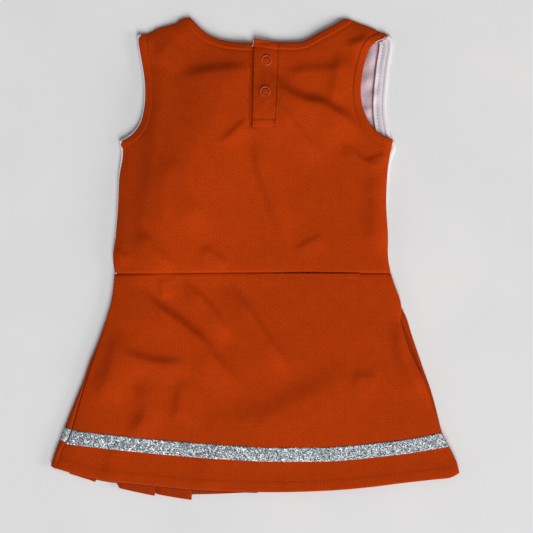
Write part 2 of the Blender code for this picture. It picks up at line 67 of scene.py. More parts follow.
OUTLINES = {
    "waist": [(-126.5, -13.8), (-60, -13.0), (0, -12.6), (60, -12.8), (121, -13.2)],
    "side_left": [
        (-126.5, -13.8), (-128, 3), (-125.6, 21), (-123.8, 48), (-122.9, 72.5), (-120.2, 94),
        (-122.2, 105.2),
    ],
    "armhole_left": [
        (-122.2, 105.2), (-114.5, 108.8), (-107.8, 114.7), (-102.8, 122.9), (-99.8, 136), (-99, 151),
        (-100.3, 166), (-104, 186), (-105.8, 201.2),
    ],
    "shoulder_left": [
        (-105.8, 201.2), (-96.1, 202.9), (-88.7, 207), (-80, 209.5), (-72.4, 211.6), (-67, 215.4),
        (-59.5, 217.2),
    ],
    "neck": [
        (-59.5, 217.2), (-55.4, 212.7), (-47.3, 204.6), (-38.7, 199.4), (-28.7, 195.9), (-15.4, 194.1),
        (0, 193.9), (18, 194.5), (37.8, 194.6), (46.2, 196.8), (57.8, 203.2), (69.5, 209.3), (80.3, 216),
    ],
    "shoulder_right": [
        (80.3, 216), (84.8, 215.2), (93.8, 211.7), (103.8, 208.1), (112, 204), (117.6, 202.4),
    ],
    "armhole_right": [
        (123.6, 107), (113.6, 110.8), (105.4, 117.6), (98.8, 127.8), (95.2, 139.4), (94.2, 152.7),
        (96.4, 169.4), (100.2, 183.4), (104, 191.2), (109.6, 195.4), (115.2, 197.4), (117.7, 199.2),
        (117.6, 202.4),
    ],
    "side_right": [
        (121.4, -13.2), (119, 2), (118.9, 21), (117.4, 48), (118.3, 75), (120.6, 92), (123.6, 107),
    ],
    "front_side_left": [
        (-126.5, -13.8), (-128.3, 3), (-126.2, 21), (-124.4, 48), (-123.4, 72.5), (-120.8, 94),
        (-123, 105.5),
    ],
    "front_armhole_left": [
        (-123, 105.5), (-115.3, 109.6), (-108.6, 115.5), (-103.8, 123.5), (-100.8, 136), (-100, 151),
        (-101.3, 166), (-104.9, 186), (-106.4, 201.2),
    ],
    "neck_front": [  # hidden under the back
        (-59.5, 217.2), (-52, 190), (-28, 165), (8, 157), (44, 165), (67, 190), (80.3, 216),
    ],
    "front_armhole_right": [
        (123.4, 107), (121, 112), (118.5, 126.3), (117.7, 138.9), (118.4, 151.7), (120.7, 173),
        (123, 187), (123.3, 196), (120, 201.6),
    ],
    "front_shoulder_right": [(80.3, 216), (92.8, 211.3), (102.8, 207.7), (112, 203.6), (120, 201.6)],
    "front_side_right": [
        (121, -13.2), (118, 4), (117.3, 40), (118.2, 52.7), (119.2, 70.7), (122, 88.7), (126.3, 101),
        (123.4, 107),
    ],
    "hem": [
        (-179.2, -188.6), (-170, -191), (-156, -194.3), (-143.5, -197.4), (-128, -199.9),
        (-105.6, -202.2), (-86.7, -204.2), (-56.4, -206.9), (-17, -208.8), (10, -209.4), (45, -208.9),
        (76, -207.3), (105, -204.6), (132, -201.2), (161, -197.9), (174, -196.6), (183, -192.6),
    ],
    "back_left": [  # the left side seam, which lies on top of the dress
        (-126.5, -13.8), (-128.8, -35.5), (-133.2, -51.8), (-138, -68), (-141.3, -77), (-147.6, -94.7),
        (-156.8, -124), (-164.5, -150.4), (-168.6, -161.3), (-173.8, -171.5), (-179.2, -188.6),
    ],
    "back_right": [
        (121.4, -13.2), (125.2, -25), (129.4, -36), (131, -45), (130.2, -56), (132.6, -66),
        (136.2, -77.5), (141, -89), (146.8, -100.5), (152.4, -112), (156.4, -123.5), (161.4, -139.2),
        (167.4, -157), (172, -166), (180, -181.5), (183, -192.6),
    ],
    "front_left": [
        (-126.6, -13.8), (-129, -35.5), (-133.2, -51.8), (-138.7, -68), (-144.4, -83), (-149.6, -95),
        (-155, -111), (-161.6, -127), (-168.3, -143.6), (-174.3, -160), (-179.8, -173), (-184.2, -186.8),
    ],
    "front_right": [
        (121, -13.2), (125, -29), (129.8, -40.5), (136.2, -54), (140.8, -69), (146.2, -85), (152, -102),
        (157, -116), (161.4, -131), (168, -157), (172, -166.5), (180, -182), (183.2, -191),
    ],
    "front_hem": [
        (-184.2, -186.8), (-170, -189.2), (-144, -194.5), (-106, -201.2), (-56, -206.6), (10, -209),
        (76, -206), (132, -200), (183.2, -191),
    ],
    "band": [  # the middle of the glitter tape
        (-190, -157.6), (-168.5, -160.4), (-130.8, -164.6), (-86.7, -169.2), (-37.4, -173.2), (4, -175.4),
        (40, -175.9), (76, -175.1), (132.3, -169.1), (170.2, -162.6), (190, -158.4),
    ],
}
BAND_WIDTH = 12.7

PLACKET_FOOT = 117.0
PLACKET_LEAN_LEFT = 0.02  # how far its sides lean to the right for each millimetre up
PLACKET_LEAN_RIGHT = 0.04
PLACKET_SPLIT = 124.2  # the flap is free above this
UNDERLAP_TOP = 193.8
SNAPS = ((9.8, 177.5), (8.8, 148.6))
FLAP_TURN = 0.0035  # how far each side of the flap's hinge two points are set, in metres; nothing uses them


def smooth_line(points, step=2.0):
    """A Catmull-Rom curve through the points."""
    knots = np.array(points, float)
    knots = np.vstack([2 * knots[0] - knots[1], knots, 2 * knots[-1] - knots[-2]])
    line = []
    for a, b, c, d in zip(knots, knots[1:], knots[2:], knots[3:]):
        t = np.linspace(0, 1, max(2, int(np.linalg.norm(c - b) / step)), endpoint=False)[:, None]
        square, cube = 2 * a - 5 * b + 4 * c - d, 3 * b - a - 3 * c + d
        line.append(0.5 * (2 * b + (c - a) * t + square * t**2 + cube * t**3))
    return np.vstack([*line, knots[-2]])


def at_share(line, share):
    """Points at the given shares, 0 to 1, of a line's length."""
    run = np.concatenate([[0], np.cumsum(np.linalg.norm(np.diff(line, axis=0), axis=1))])
    at = np.clip(share, 0, 1) * run[-1]
    return np.stack([np.interp(at, run, line[:, i]) for i in range(line.shape[1])], -1)


def length_of(line):
    return np.linalg.norm(np.diff(line, axis=0), axis=1).sum()


def nearest(line, x, y):
    """The distance to a line, positive on its left, and the share of its length that is nearest."""
    best = np.full(np.shape(x), 1e9)
    side = np.ones(np.shape(x))
    share = np.zeros(np.shape(x))
    steps = np.diff(line, axis=0)
    lengths = np.linalg.norm(steps, axis=1)
    starts = np.concatenate([[0], np.cumsum(lengths)])
    for (ax, ay), (dx, dy), length, start in zip(line, steps, lengths, starts):
        t = np.clip(((x - ax) * dx + (y - ay) * dy) / length**2, 0, 1)
        px, py = x - ax - dx * t, y - ay - dy * t
        distance = np.hypot(px, py)
        closer = distance < best
        best = np.where(closer, distance, best)
        side = np.where(closer, np.where(dx * py - dy * px < 0, -1.0, 1.0), side)
        share = np.where(closer, (start + length * t) / starts[-1], share)
    return best * side, share


def smooth_step(t):
    """Rises from 0 to 1, level at both ends."""
    t = np.clip(t, 0, 1)
    return t * t * (3 - 2 * t)


def bell(distance, width):
    """A smooth bump, 1 high where the distance is 0."""
    return np.exp(-((distance / width) ** 2))


def ease_out(t):
    """Rises from 0 to 1, steep at first and level at the end."""
    t = np.clip(t, 0, 1)
    return t * (2 - t)


def route(*stretches, reverse=False):
    """A panel's side, made of outlines, with the share of the side where one gives way to the next."""
    lines = [LINES[name][::-1] if reverse else LINES[name] for name in stretches[::2]]
    ends = (*stretches[1::2], 1.0)

    def points(t):
        t = np.asarray(t, float)
        found = np.zeros((*t.shape, 2))
        start = 0.0
        for end, line in zip(ends, lines):
            inside = (t >= start - 1e-9) & (t <= end + 1e-9)
            found[inside] = at_share(line, (t[inside] - start) / (end - start))
            start = end
        return found

    return points


def coons(bottom, top, left, right):
    """The surface inside four sides, as a function of u across and v up."""

    def points(u, v):
        uu, vv = u[..., None], v[..., None]
        zero, one = np.zeros_like(u), np.ones_like(u)
        corners = (
            bottom(zero) * (1 - uu) * (1 - vv)
            + bottom(one) * uu * (1 - vv)
            + top(zero) * (1 - uu) * vv
            + top(one) * uu * vv
        )
        found = bottom(u) * (1 - vv) + top(u) * vv + left(v) * (1 - uu) + right(v) * uu - corners
        return found[..., 0], found[..., 1]

    return points


LINES = {name: smooth_line(points) for name, points in OUTLINES.items()}


def away_from(name, x, y):
    """The distance to an outline."""
    return np.abs(nearest(LINES[name], x, y)[0])


# --- how the cloth lies ---

CROWN = 7.8  # how high the back lies away from its edges
HIGHEST = 20.2  # no fold rises past this
# Each edge of the back: how high the cloth lies there, and how far it takes to rise to the crown.
EDGES = (
    ("side_left", 3.0, 16), ("side_right", 3.2, 14),
    ("shoulder_left", 2.4, 26), ("shoulder_right", 2.4, 24),
    ("armhole_left", 3.4, 26), ("armhole_right", 5.2, 22), ("neck", 3.7, 24),
    ("back_left", 3.6, 38), ("back_right", 4.6, 16), ("hem", 7.6, 60),
)
# Folds: a path down the middle of each fold's steep side, with its crest on the path's left, then
# the widths of the steep and gentle sides, and the height.
FOLDS = (
    (
        [
            (-8, 206), (-36, 166), (-54, 134), (-70, 104), (-86, 74), (-99, 42), (-108, 8), (-113, -20),
            (-118, -52),
        ],
        32, 60, 6.2,
    ),
    (
        [
            (-93, 196), (-91, 163), (-93, 133), (-95, 112), (-98.5, 83), (-102, 53), (-107, 29),
            (-111, 6),
        ],
        11, 45, 3.6,
    ),
    (
        [
            (101, 106), (88, 122), (73, 133.6), (59.5, 141), (44.5, 143.5), (31, 150), (19, 162),
            (5, 175),
        ],
        6.5, 26, 4.6,
    ),
    ([(86, 173.5), (50, 171), (20, 169)], 7, 18, 2.0),
    ([(73, 188), (70, 164), (65, 136)], 6, 14, 2.0),
    ([(4, 172), (-35, 170.5), (-74, 162)], 6.5, 20, 2.2),
    ([(104, 200), (92, 196), (80, 191)], 5, 12, 2.2),
    ([(-72, 200), (-84, 190), (-94, 176)], 7, 18, 1.2),
    ([(-3, 129), (-19, 115), (-34, 101)], 3.4, 10, 1.3),
    ([(60, 92), (36, 121), (19, 144)], 3.8, 11, 1.8),
    ([(122, 94), (110, 92), (97, 88)], 2.8, 7, 1.1),
    ([(118, 85), (103, 86.5), (92, 94), (79, 107)], 3.6, 10, 1.6),
    ([(-40, 24), (-58, 60), (-72, 92)], 5.5, 15, 2.2),
    ([(-5, 124), (2.5, 77), (13, 46), (27, 6)], 4.6, 13, 2.1),
    ([(-68, -9), (-86, 8), (-104, 29)], 5, 13, 2.2),
    ([(-22, -7), (-34, 3), (-47, 14)], 3.4, 9, 1.3),
    ([(64, 24), (48, 16), (31, 7)], 3.4, 9, 0.8),
    ([(101, 90), (103, 45), (100, 0)], 9, 15, 1.8),
    ([(-108, 2), (-119, 5), (-128, 10)], 3, 7, 0.9),
    ([(-4, -121), (-31, -92), (-44, -74), (-62, -58.5), (-86, -41), (-114, -17)], 5.6, 20, 4.3),
    ([(-87, -16), (-84, -38)], 3.4, 8, 1.3),
    ([(-16, -76), (-38, -44), (-66, -15)], 4.6, 14, 2.9),
    ([(38, -108), (16, -76), (-2, -49), (-26, -15)], 5, 15, 3.3),
    ([(-56, -92), (-92, -90), (-124, -79)], 5.4, 13, 2.2),
    ([(-125, -60), (-134, -97), (-146, -132)], 8, 18, 2.6),
    ([(-113, -112), (-102, -136), (-118, -162)], 6, 14, 2.0),
    ([(-66, -104), (-71, -128), (-75, -152)], 5, 12, 1.3),
    ([(86, -80), (58, -112), (31, -124), (10, -136), (-11, -139), (-44, -130)], 13, 30, 1.9),
    ([(112, -106), (86, -102)], 5.5, 13, 1.2),
    ([(122, -52), (128, -86), (140, -112), (158, -130)], 6, 9, 2.6),
    ([(-133, -162), (-135, -209)], 7, 13, 0.9),
    ([(-50, -166), (-50, -216)], 7, 13, 0.8),
)
FOLD_LINES = [(smooth_line(path, 5.0), steep, gentle, height) for path, steep, gentle, height in FOLDS]
FOLD_STRENGTH = 1.65  # times each height above
FADE = 75  # a fold dies away over this much of its length at each end, or over a third of it
# Slow ripples in the relaxed cloth: wavelength, direction in degrees, phase and height.
RIPPLES = (
    (61, 20, 0.3, 0.2), (43, 100, 1.9, 0.12), (29, 64, 4.0, 0.05), (19, 141, 2.6, 0.025),
    (9, 5, 0.9, 0.012),
)


def fold_lift(x, y):
    """How far the folds raise the cloth."""
    lift = np.zeros(np.shape(x))
    for line, steep, gentle, height in FOLD_LINES:
        side, share = nearest(line, x, y)
        past = side - 0.7 * steep
        width = np.where(past < 0, steep, gentle)
        fade = min(0.34, FADE / length_of(line))
        ends = smooth_step(share / fade) * smooth_step((1 - share) / fade)
        lift += height * bell(past, width) * ends
    return lift


def ripple_lift(x, y):
    """How far the ripples raise or lower the cloth."""
    lift = np.zeros(np.shape(x))
    for wavelength, direction, phase, height in RIPPLES:
        angle = math.radians(direction)
        bent = y + 6 * np.sin(x / 29 + phase)
        along = x * math.cos(angle) + bent * math.sin(angle)
        lift += height * np.sin(along * math.tau / wavelength + phase)
    return lift


def lowest(levels, softness=0.7):
    """The smallest of several heights, with the corners between them rounded off."""
    stack = np.stack(levels)
    least = stack.min(0)
    return least - softness * np.log(np.exp(-(stack - least) / softness).sum(0))


def x_on(line, y):
    """Where a line that runs downwards is at a height."""
    return np.interp(y, line[::-1, 1], line[::-1, 0])


def waist_y(x):
    return np.interp(x, LINES["waist"][:, 0], LINES["waist"][:, 1])


def body_height(x, y):
    """Height of the middle of the back's cloth, before the detail along its edges."""
    levels = []
    for name, level, reach in EDGES:
        away = away_from(name, x, y)
        levels.append(level + (CROWN - level) * ease_out(away / reach))
    room = smooth_step((lowest(levels) - 3.0) / 4.0)
    ditch = np.abs(y - waist_y(x))
    seam = 1.3 * bell(ditch, 0.9) + 0.2 * bell(ditch, 3.5)
    height = lowest(levels) + FOLD_STRENGTH * fold_lift(x, y) * (0.3 + 0.7 * room) + ripple_lift(x, y)
    return lowest([height, np.full(np.shape(x), HIGHEST)]) - seam


def turned_edge(away, radius=1.1, stitched=STITCH_LINE, band=0.6, groove=0.9):
    """Added to the height near a turned and topstitched edge, at a distance in from it."""
    inside = np.clip(radius - away, 0, radius)
    roll = np.sqrt(radius**2 - inside**2) - radius
    doubled = band * (1 - smooth_step((away - stitched) / 1.0))
    return roll + doubled - groove * bell(away - stitched, 0.75)


def placket_left(y):
    return -2.6 + (y - PLACKET_FOOT) * PLACKET_LEAN_LEFT


def placket_right(y):
    return 17.6 + (y - PLACKET_FOOT) * PLACKET_LEAN_RIGHT


def placket_x(share, y, over=0.0):
    """Where a share of the way across the placket is. Its right side may go over its stitch line."""
    return placket_left(y) + (placket_right(y) + over - placket_left(y)) * share


def placket_share(x, y):
    return (x - placket_left(y)) / (placket_right(y) - placket_left(y))


def panel_height(x, y):
    """The back bodice and skirt, with their turned edges and the dip beside the placket."""
    height = body_height(x, y)
    for name in ("neck", "armhole_left", "armhole_right"):
        height = height + turned_edge(away_from(name, x, y))
    from_hem = away_from("hem", x, y)
    height = height + turned_edge(from_hem, 0.9, HEM_STITCH_LINE, 0.2, 0.12) + 1.1 * bell(from_hem, 13)
    for name in ("side_left", "side_right", "shoulder_left", "shoulder_right", "back_left", "back_right"):
        height = height + turned_edge(away_from(name, x, y), 1.3, 0, 0, 0)
    beside = bell(x - placket_left(y) + 0.5, 4.0) * smooth_step((y - 114) / 6)
    return height - 1.5 * beside * (x < 8)


def flap_top(x):
    return 197.3 - 0.14 * (x + 0.9)


def flap_height(x, y):
    """The placket's flap: raised along its folded left edge, and level with the panel at its right."""
    height = body_height(x, y) + 1.05 * (1 - smooth_step((placket_share(x, y) - 0.45) / 0.55))
    height = height + turned_edge(flap_top(x) - y)
    height = height + turned_edge(x - placket_left(y), 0.9, 2.0, 0.15, 0.2)
    right = bell(placket_right(y) - x, 0.7)
    box = bell(y - PLACKET_SPLIT, 0.6)
    return height - 0.5 * right - 0.3 * box


def tail_height(x, y):
    """The flap's stitched-down end, which thins out on to the panel at its foot and right side."""
    height = body_height(x, y) + 0.35 + 0.9 * (1 - smooth_step((placket_share(x, y) - 0.45) / 0.55))
    foot = 1 - smooth_step((y - PLACKET_FOOT) / 2.5)
    height = height - 0.55 * foot + turned_edge(x - placket_left(y), 0.9, 2.0, 0.15, 0.2)
    return height - 0.3 * bell(y - PLACKET_SPLIT, 0.6)


# Short folds in the front bodice, beside the right armhole: middle, widths and height.
FRONT_FOLDS = (
    ((104, 180), (4, 9), 3.0), ((101, 160), (5, 6), 2.8), ((107, 146), (4, 5), 2.4),
    ((101, 133), (4, 4), 2.6), ((109, 166), (3, 6), 1.4),
)


def front_height(x, y):
    """The front bodice, which lies on its outer face, with a few soft folds where it shows."""
    lift = 0.55 + 0.18 * (1 + np.sin(x / 13 + 1.2 * np.sin(y / 31))) * smooth_step((150 - np.abs(x)) / 60)
    for (cx, cy), (wx, wy), height in FRONT_FOLDS:
        lift = lift + height * bell(x - cx, wx) * bell(y - cy, wy)
    return lift


def raised(height, lift):
    """A height function, moved up."""
    return lambda x, y: height(x, y) + lift


# --- building ---


def spacing(length, step, fine=()):
    """Shares along a length, a step apart, and closer near both ends where fine gives distances."""
    fine = np.array([d for d in fine if d < length / 3], float)
    start = fine[-1] if len(fine) else 0.0
    count = max(2, round((length - 2 * start) / step))
    middle = np.linspace(start, length - start, count + 1)
    shares = np.concatenate([fine[:-1], middle, (length - fine[:-1])[::-1]]) if len(fine) else middle
    return shares / length


# Distances in from a stitched edge, and from a seam, where the cloth's grid needs a row.
EDGE_STEPS = (0, 0.25, 0.6, 1.0, 1.6, 2.6, 3.8, 5.0, 5.9, 6.4, 6.8, 7.2, 7.7, 8.6, 9.8)
SEAM_STEPS = (0, 0.25, 0.6, 1.0, 1.6, 2.4, 3.6, 5.0)


def mesh_of(name, shape):
    mesh = bpy.data.meshes.new(name)
    shape.to_mesh(mesh)
    shape.free()
    return mesh


def finished(mesh, material):
    """The object that shows a mesh, under the mesh's name."""
    mesh.materials.append(material)
    mesh.shade_smooth()
    obj = bpy.data.objects.new(mesh.name, mesh)
    bpy.context.scene.collection.objects.link(obj)
    return obj


def cloth(name, us, vs, place, material, thickness=KNIT, flat=None):
    """A sheet of cloth on a grid of shares. place gives x, y, z; flat gives the cloth's own u, v."""
    sheet = bmesh.new()
    bmesh.ops.create_grid(sheet, x_segments=len(us) - 1, y_segments=len(vs) - 1, size=0.5)
    mesh = mesh_of(name, sheet)
    corners = np.zeros(len(mesh.vertices) * 3)
    mesh.vertices.foreach_get("co", corners)
    corners = corners.reshape(-1, 3)
    column = np.rint((corners[:, 0] + 0.5) * (len(us) - 1)).astype(int)
    row = np.rint((corners[:, 1] + 0.5) * (len(vs) - 1)).astype(int)
    x, y, z = place(us[column], vs[row])
    mesh.vertices.foreach_set("co", (np.stack([x, y, z], -1) * MM).ravel())
    u, v = flat(us[column], vs[row]) if flat else (x, y)
    corner_of = np.zeros(len(mesh.loops), int)
    mesh.loops.foreach_get("vertex_index", corner_of)
    layer = mesh.uv_layers.new(name="cloth")
    layer.data.foreach_set("uv", (np.stack([u, v], -1)[corner_of] * MM).ravel())
    mesh.update()
    obj = finished(mesh, material)
    solidify = obj.modifiers.new("thickness", "SOLIDIFY")
    solidify.thickness = thickness * MM
    solidify.offset = 0
    return obj


def panel(name, surface, us, vs, height, material, thickness=KNIT):
    def place(u, v):
        x, y = surface(u, v)
        return x, y, height(x, y)

    return cloth(name, us, vs, place, material, thickness)


def leftwards(line):
    """The direction to a line's left at each of its points."""
    along = np.gradient(line, axis=0)
    along /= np.linalg.norm(along, axis=1)[:, None]
    return np.stack([-along[:, 1], along[:, 0]], -1)


def offset_line(line, inward):
    """The line moved to its left by a distance, or by one distance for each point."""
    return line + leftwards(line) * np.reshape(inward, (-1, 1))


def strip(name, line, start, end, near, far, height, material, thickness=FACING, step=2.5, across=6):
    """A strip of cloth beside a line, between two distances to its left."""
    part = at_share(line, np.linspace(start, end, max(4, round(length_of(line) * (end - start) / step))))
    us = np.linspace(0, 1, len(part))
    vs = np.linspace(0, 1, across)
    rails = np.stack([offset_line(part, near + (far - near) * v) for v in vs])

    def place(u, v):
        points = rails[np.rint(v * (across - 1)).astype(int), np.rint(u * (len(part) - 1)).astype(int)]
        x, y = points[:, 0], points[:, 1]
        return x, y, height(x, y)

    return cloth(name, us, vs, place, material, thickness)


def take_place(obj, body, slot, *nodes):
    """Puts a piece on its body and hides the CAD nodes that it stands for. The slot is not used."""
    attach(obj, body)
    if nodes:
        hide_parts(*nodes)
    return obj


def carve(obj, planes, inside):
    """Cuts a sheet along vertical planes, each only through faces near it, and removes what's inside."""
    sheet = bmesh.new()
    sheet.from_mesh(obj.data)
    for point, normal, near in planes:
        faces = [f for f in sheet.faces if near(*(f.calc_center_median() / MM))]
        parts = {*faces, *(e for f in faces for e in f.edges), *(v for f in faces for v in f.verts)}
        bmesh.ops.bisect_plane(
            sheet, geom=list(parts), dist=1e-7, plane_co=Vector(point) * MM, plane_no=Vector(normal)
        )
    gone = [f for f in sheet.faces if inside(*(f.calc_center_median() / MM))]
    bmesh.ops.delete(sheet, geom=gone, context="FACES")
    sheet.to_mesh(obj.data)
    sheet.free()


# --- materials ---

WAVE = 0.31416  # the scale at which a wave texture repeats once in each unit
WALE = 1.35  # between wales, in mm. Real ones are 0.7 mm apart, and are drawn at twice that to show


def linear(hex_colour):
    """A colour given in sRGB, for the sockets, which take linear values."""
    values = [int(hex_colour[i : i + 2], 16) / 255 for i in (0, 2, 4)]
    return (*(v / 12.92 if v <= 0.04045 else ((v + 0.055) / 1.055) ** 2.4 for v in values), 1)


def add_node(tree, kind, links=None, operation=None, stops=(), **settings):
    """Adds a node. Links maps its input names or numbers to values or to other nodes' sockets. Stops
    are a colour ramp's positions and colours."""
    node = tree.nodes.new("ShaderNode" + kind)
    if operation:
        node.operation = operation
    for key, value in settings.items():
        setattr(node, key, value)
    for _ in stops[2:]:
        node.color_ramp.elements.new(0.5)
    for i, (position, colour) in enumerate(stops):
        node.color_ramp.elements[i].position = position
        node.color_ramp.elements[i].color = linear(colour)
    for socket, value in (links or {}).items():
        if isinstance(value, bpy.types.NodeSocket):
            tree.links.new(value, node.inputs[socket])
        else:
            node.inputs[socket].default_value = value
    return node


def new_material(name, **shader):
    material = bpy.data.materials.new(name)
    material.use_nodes = True
    tree = material.node_tree
    principled = tree.nodes["Principled BSDF"]
    for socket, value in shader.items():
        principled.inputs[socket.replace("_", " ")].default_value = value
    return material, tree, principled


def knit_material(name, base, low, high, sheen, unfolded=True):
    """Ponte double knit: brushed polyester yarn, matt, with a short even nap, and the dye lies a little
    unevenly. The pattern follows the unfolded cloth, or the object where a piece has no such layer."""
    material, tree, shader = new_material(
        name, Roughness=0.9, Specular_IOR_Level=0.05, Sheen_Weight=sheen, Sheen_Roughness=0.45
    )
    shader.inputs["Sheen Tint"].default_value = linear(high)
    if unfolded:
        flat = add_node(tree, "UVMap", uv_map="cloth").outputs[0]
    else:
        flat = add_node(tree, "TexCoord").outputs["Object"]
    place = add_node(tree, "Mapping", {"Vector": flat, "Scale": (1000, 1000, 1000)}).outputs[0]
    wales, courses = (
        add_node(
            tree, "TexWave",
            {"Vector": place, "Scale": WAVE / pitch, "Distortion": uneven, "Detail": detail},
            bands_direction=direction,
        ).outputs["Fac"]
        for direction, pitch, uneven, detail in (("X", WALE, 0.5, 1.0), ("Y", WALE * 0.8, 0.7, 2.0))
    )
    loops = add_node(tree, "Math", {0: wales, 1: courses}, "MULTIPLY").outputs[0]
    nap, mottle = (
        add_node(tree, "TexNoise", {"Vector": place, "Scale": scale, "Detail": detail}).outputs["Fac"]
        for scale, detail in ((0.9, 3.0), (0.11, 4.0))
    )
    grain = add_node(tree, "Math", {0: nap, 1: 0.7}, "MULTIPLY").outputs[0]
    shade = add_node(tree, "Math", {0: mottle, 1: 0.14, 2: grain}, "MULTIPLY_ADD").outputs[0]
    shade = add_node(tree, "Math", {0: loops, 1: 0.16, 2: shade}, "MULTIPLY_ADD").outputs[0]
    stops = ((0.28, low), (0.46, base), (0.64, high))
    colour = add_node(tree, "ValToRGB", {"Fac": shade}, stops=stops).outputs[0]
    tree.links.new(colour, shader.inputs["Base Color"])
    pile = add_node(tree, "Math", {0: nap, 1: 0.6, 2: loops}, "MULTIPLY_ADD").outputs[0]
    relief = {"Height": pile, "Strength": 0.5, "Distance": 0.05 * MM}
    bump = add_node(tree, "Bump", relief).outputs[0]
    tree.links.new(bump, shader.inputs["Normal"])
    return material


def glitter_material():
    """Glitter tape: hexagonal foil flecks about 0.4 mm wide, glued on at all angles, so each one is
    bright, mid or dark as it turns to the light. They are drawn at twice that width to show."""
    material, tree, shader = new_material("silver_glitter_foil", Metallic=0.2, Roughness=0.42)
    flat = add_node(tree, "UVMap", uv_map="cloth").outputs[0]
    place = add_node(tree, "Mapping", {"Vector": flat, "Scale": (1000, 1000, 1000)}).outputs[0]
    flecks = add_node(tree, "TexVoronoi", {"Vector": place, "Scale": 1.3, "Randomness": 0.9})
    parts = add_node(tree, "SeparateColor", {"Color": flecks.outputs["Color"]}).outputs
    # Each fleck's colour, dark grey to near white, is painted glint and shade, on top of its tilted
    # normal.
    stops = ((0.0, "566068"), (0.24, "7f888e"), (0.5, "a1a9af"), (0.74, "c1c8cd"), (0.9, "f0f3f6"))
    colour = add_node(tree, "ValToRGB", {"Fac": parts[0]}, stops=stops)
    colour.color_ramp.interpolation = "CONSTANT"
    tree.links.new(colour.outputs[0], shader.inputs["Base Color"])
    turned = add_node(
        tree, "VectorMath", {0: flecks.outputs["Color"], 1: (0.5, 0.5, 0.5)}, "SUBTRACT"
    ).outputs[0]
    turned = add_node(tree, "VectorMath", {0: turned, "Scale": 0.9}, "SCALE").outputs[0]
    normal = add_node(tree, "NewGeometry").outputs["Normal"]
    facet = add_node(tree, "VectorMath", {0: normal, 1: turned}, "ADD").outputs[0]
    facet = add_node(tree, "VectorMath", {0: facet}, "NORMALIZE").outputs[0]
    tree.links.new(facet, shader.inputs["Normal"])
    return material


def patterned_material(name, kind, pattern, low, high, bands=None, **shader):
    """A material with one pattern on the object's own coordinates, between two colours. Low and high
    are each the pattern's value and the colour there."""
    material, tree, principled = new_material(name, **shader)
    place = add_node(tree, "TexCoord").outputs["Object"]
    settings = {"bands_direction": bands} if bands else {}
    value = add_node(tree, kind, {"Vector": place, **pattern}, **settings).outputs["Fac"]
    colour = add_node(tree, "ValToRGB", {"Fac": value}, stops=(low, high)).outputs[0]
    tree.links.new(colour, principled.inputs["Base Color"])
    return material


def thread_material(name, base, high):
    """Spun polyester thread: two plies twisted, with a soft lustre."""
    return patterned_material(
        name, "TexNoise", {"Scale": 1400.0, "Detail": 2.0}, (0.35, base), (0.65, high),
        Roughness=0.65, Specular_IOR_Level=0.15,
    )


ORANGE = knit_material("orange_ponte_knit", "aa3504", "942a03", "be4006", 0.05)
# The pleated panel is the same knit drawn a shade darker: painted shade, so the pleats read as lying low
# under the back's hem.
PLEATS_PAINTED_SHADE = knit_material("orange_ponte_pleats_painted_shade", "9c3206", "882904", "ad3b08", 0.05)
SEAM = knit_material("orange_ponte_seam", "aa3504", "942a03", "be4006", 0.05, unfolded=False)
WHITE = knit_material("white_ponte_knit", "e2dde0", "d6d0d4", "eeeaed", 0.12)
# The facings are the same white knit drawn a little grey and lilac: painted shade and a touch of painted
# orange reflection.
WHITE_FACING_PAINTED_SHADE = knit_material("white_ponte_facing_painted_shade", "d8cdd5", "cabfc7", "e4dce2", 0.1)
# The front's inner face is the white knit greyed and tinted pink: painted shade under the back and
# painted orange reflection.
WHITE_INSIDE_PAINTED_SHADE = knit_material("white_ponte_inside_painted_shade_and_reflection", "ccb2bb", "b398a1", "dfc9d1", 0.1)
GLITTER = glitter_material()
# Enamelled brass ring snap: stamped, sprayed and baked, so it is smooth and glossy.
ENAMEL = patterned_material(
    "orange_baked_enamel", "TexNoise", {"Scale": 900.0, "Detail": 2.0},
    (0.3, "9c3209"), (0.65, "b4410f"), Roughness=0.42, Coat_Weight=0.12, Coat_Roughness=0.2,
)
# The orange thread is a shade darker than the cloth: partly its own dark red, partly painted shade of the
# groove it lies in.
ORANGE_THREAD = thread_material("orange_polyester_thread", "7e2404", "a53409")
# The white thread on the front's facing is drawn grey-mauve: painted shade of the stitched groove.
WHITE_THREAD_PAINTED_SHADE = thread_material("white_polyester_thread_painted_shade", "8f7d86", "b5a7ae")
WHITE_THREAD = thread_material("white_polyester_thread", "d8ced2", "f4f0f2")
# Overlock thread drawn near black at the hem and mauve at the facing's edge: painted shadow of the gaps
# under those edges.
HEM_PAINTED_SHADOW_THREAD = thread_material("dark_orange_painted_shadow_thread", "4a1502", "661e05")
FACING_PAINTED_SHADOW_THREAD = thread_material("mauve_painted_shadow_thread", "6a4a4c", "8a686b")
# Woven satin label, blank: long floats give it a soft gloss along the weave.
SATIN = patterned_material(
    "white_woven_satin", "TexWave", {"Scale": WAVE / 0.0006}, (0, "e9e9ea"), (1, "f6f6f7"), "Y",
    Roughness=0.42,
)

# --- bodice ---


def make_back_bodice():
    surface = coons(
        route("waist"),
        route("shoulder_left", 0.2, "neck", 0.8, "shoulder_right"),
        route("side_left", 0.5, "armhole_left"),
        route("side_right", 0.5, "armhole_right"),
    )
    us = spacing(222, 1.5, EDGE_STEPS)
    vs = spacing(218, 1.5, EDGE_STEPS)
    back = panel("back_bodice_cloth", surface, us, vs, panel_height, ORANGE)
    above = PLACKET_SPLIT
    slit = 1.2  # the left panel ends this far under the flap

    def near(x, y, z):
        return y > above - 3 and -8 < x < 28

    def inside(x, y, z):
        return y > above and placket_left(y) + slit < x < placket_right(y)

    planes = (
        ((placket_left(above) + slit, above, 0), (1, -PLACKET_LEAN_LEFT, 0), near),
        ((placket_right(above), above, 0), (1, -PLACKET_LEAN_RIGHT, 0), near),
        ((0, above, 0), (0, 1, 0), lambda x, y, z: near(x, y, z) and -6 < x < 22),
    )
    carve(back, planes, inside)
    take_place(back, "bodice", "orange_knit", "back_bodice")


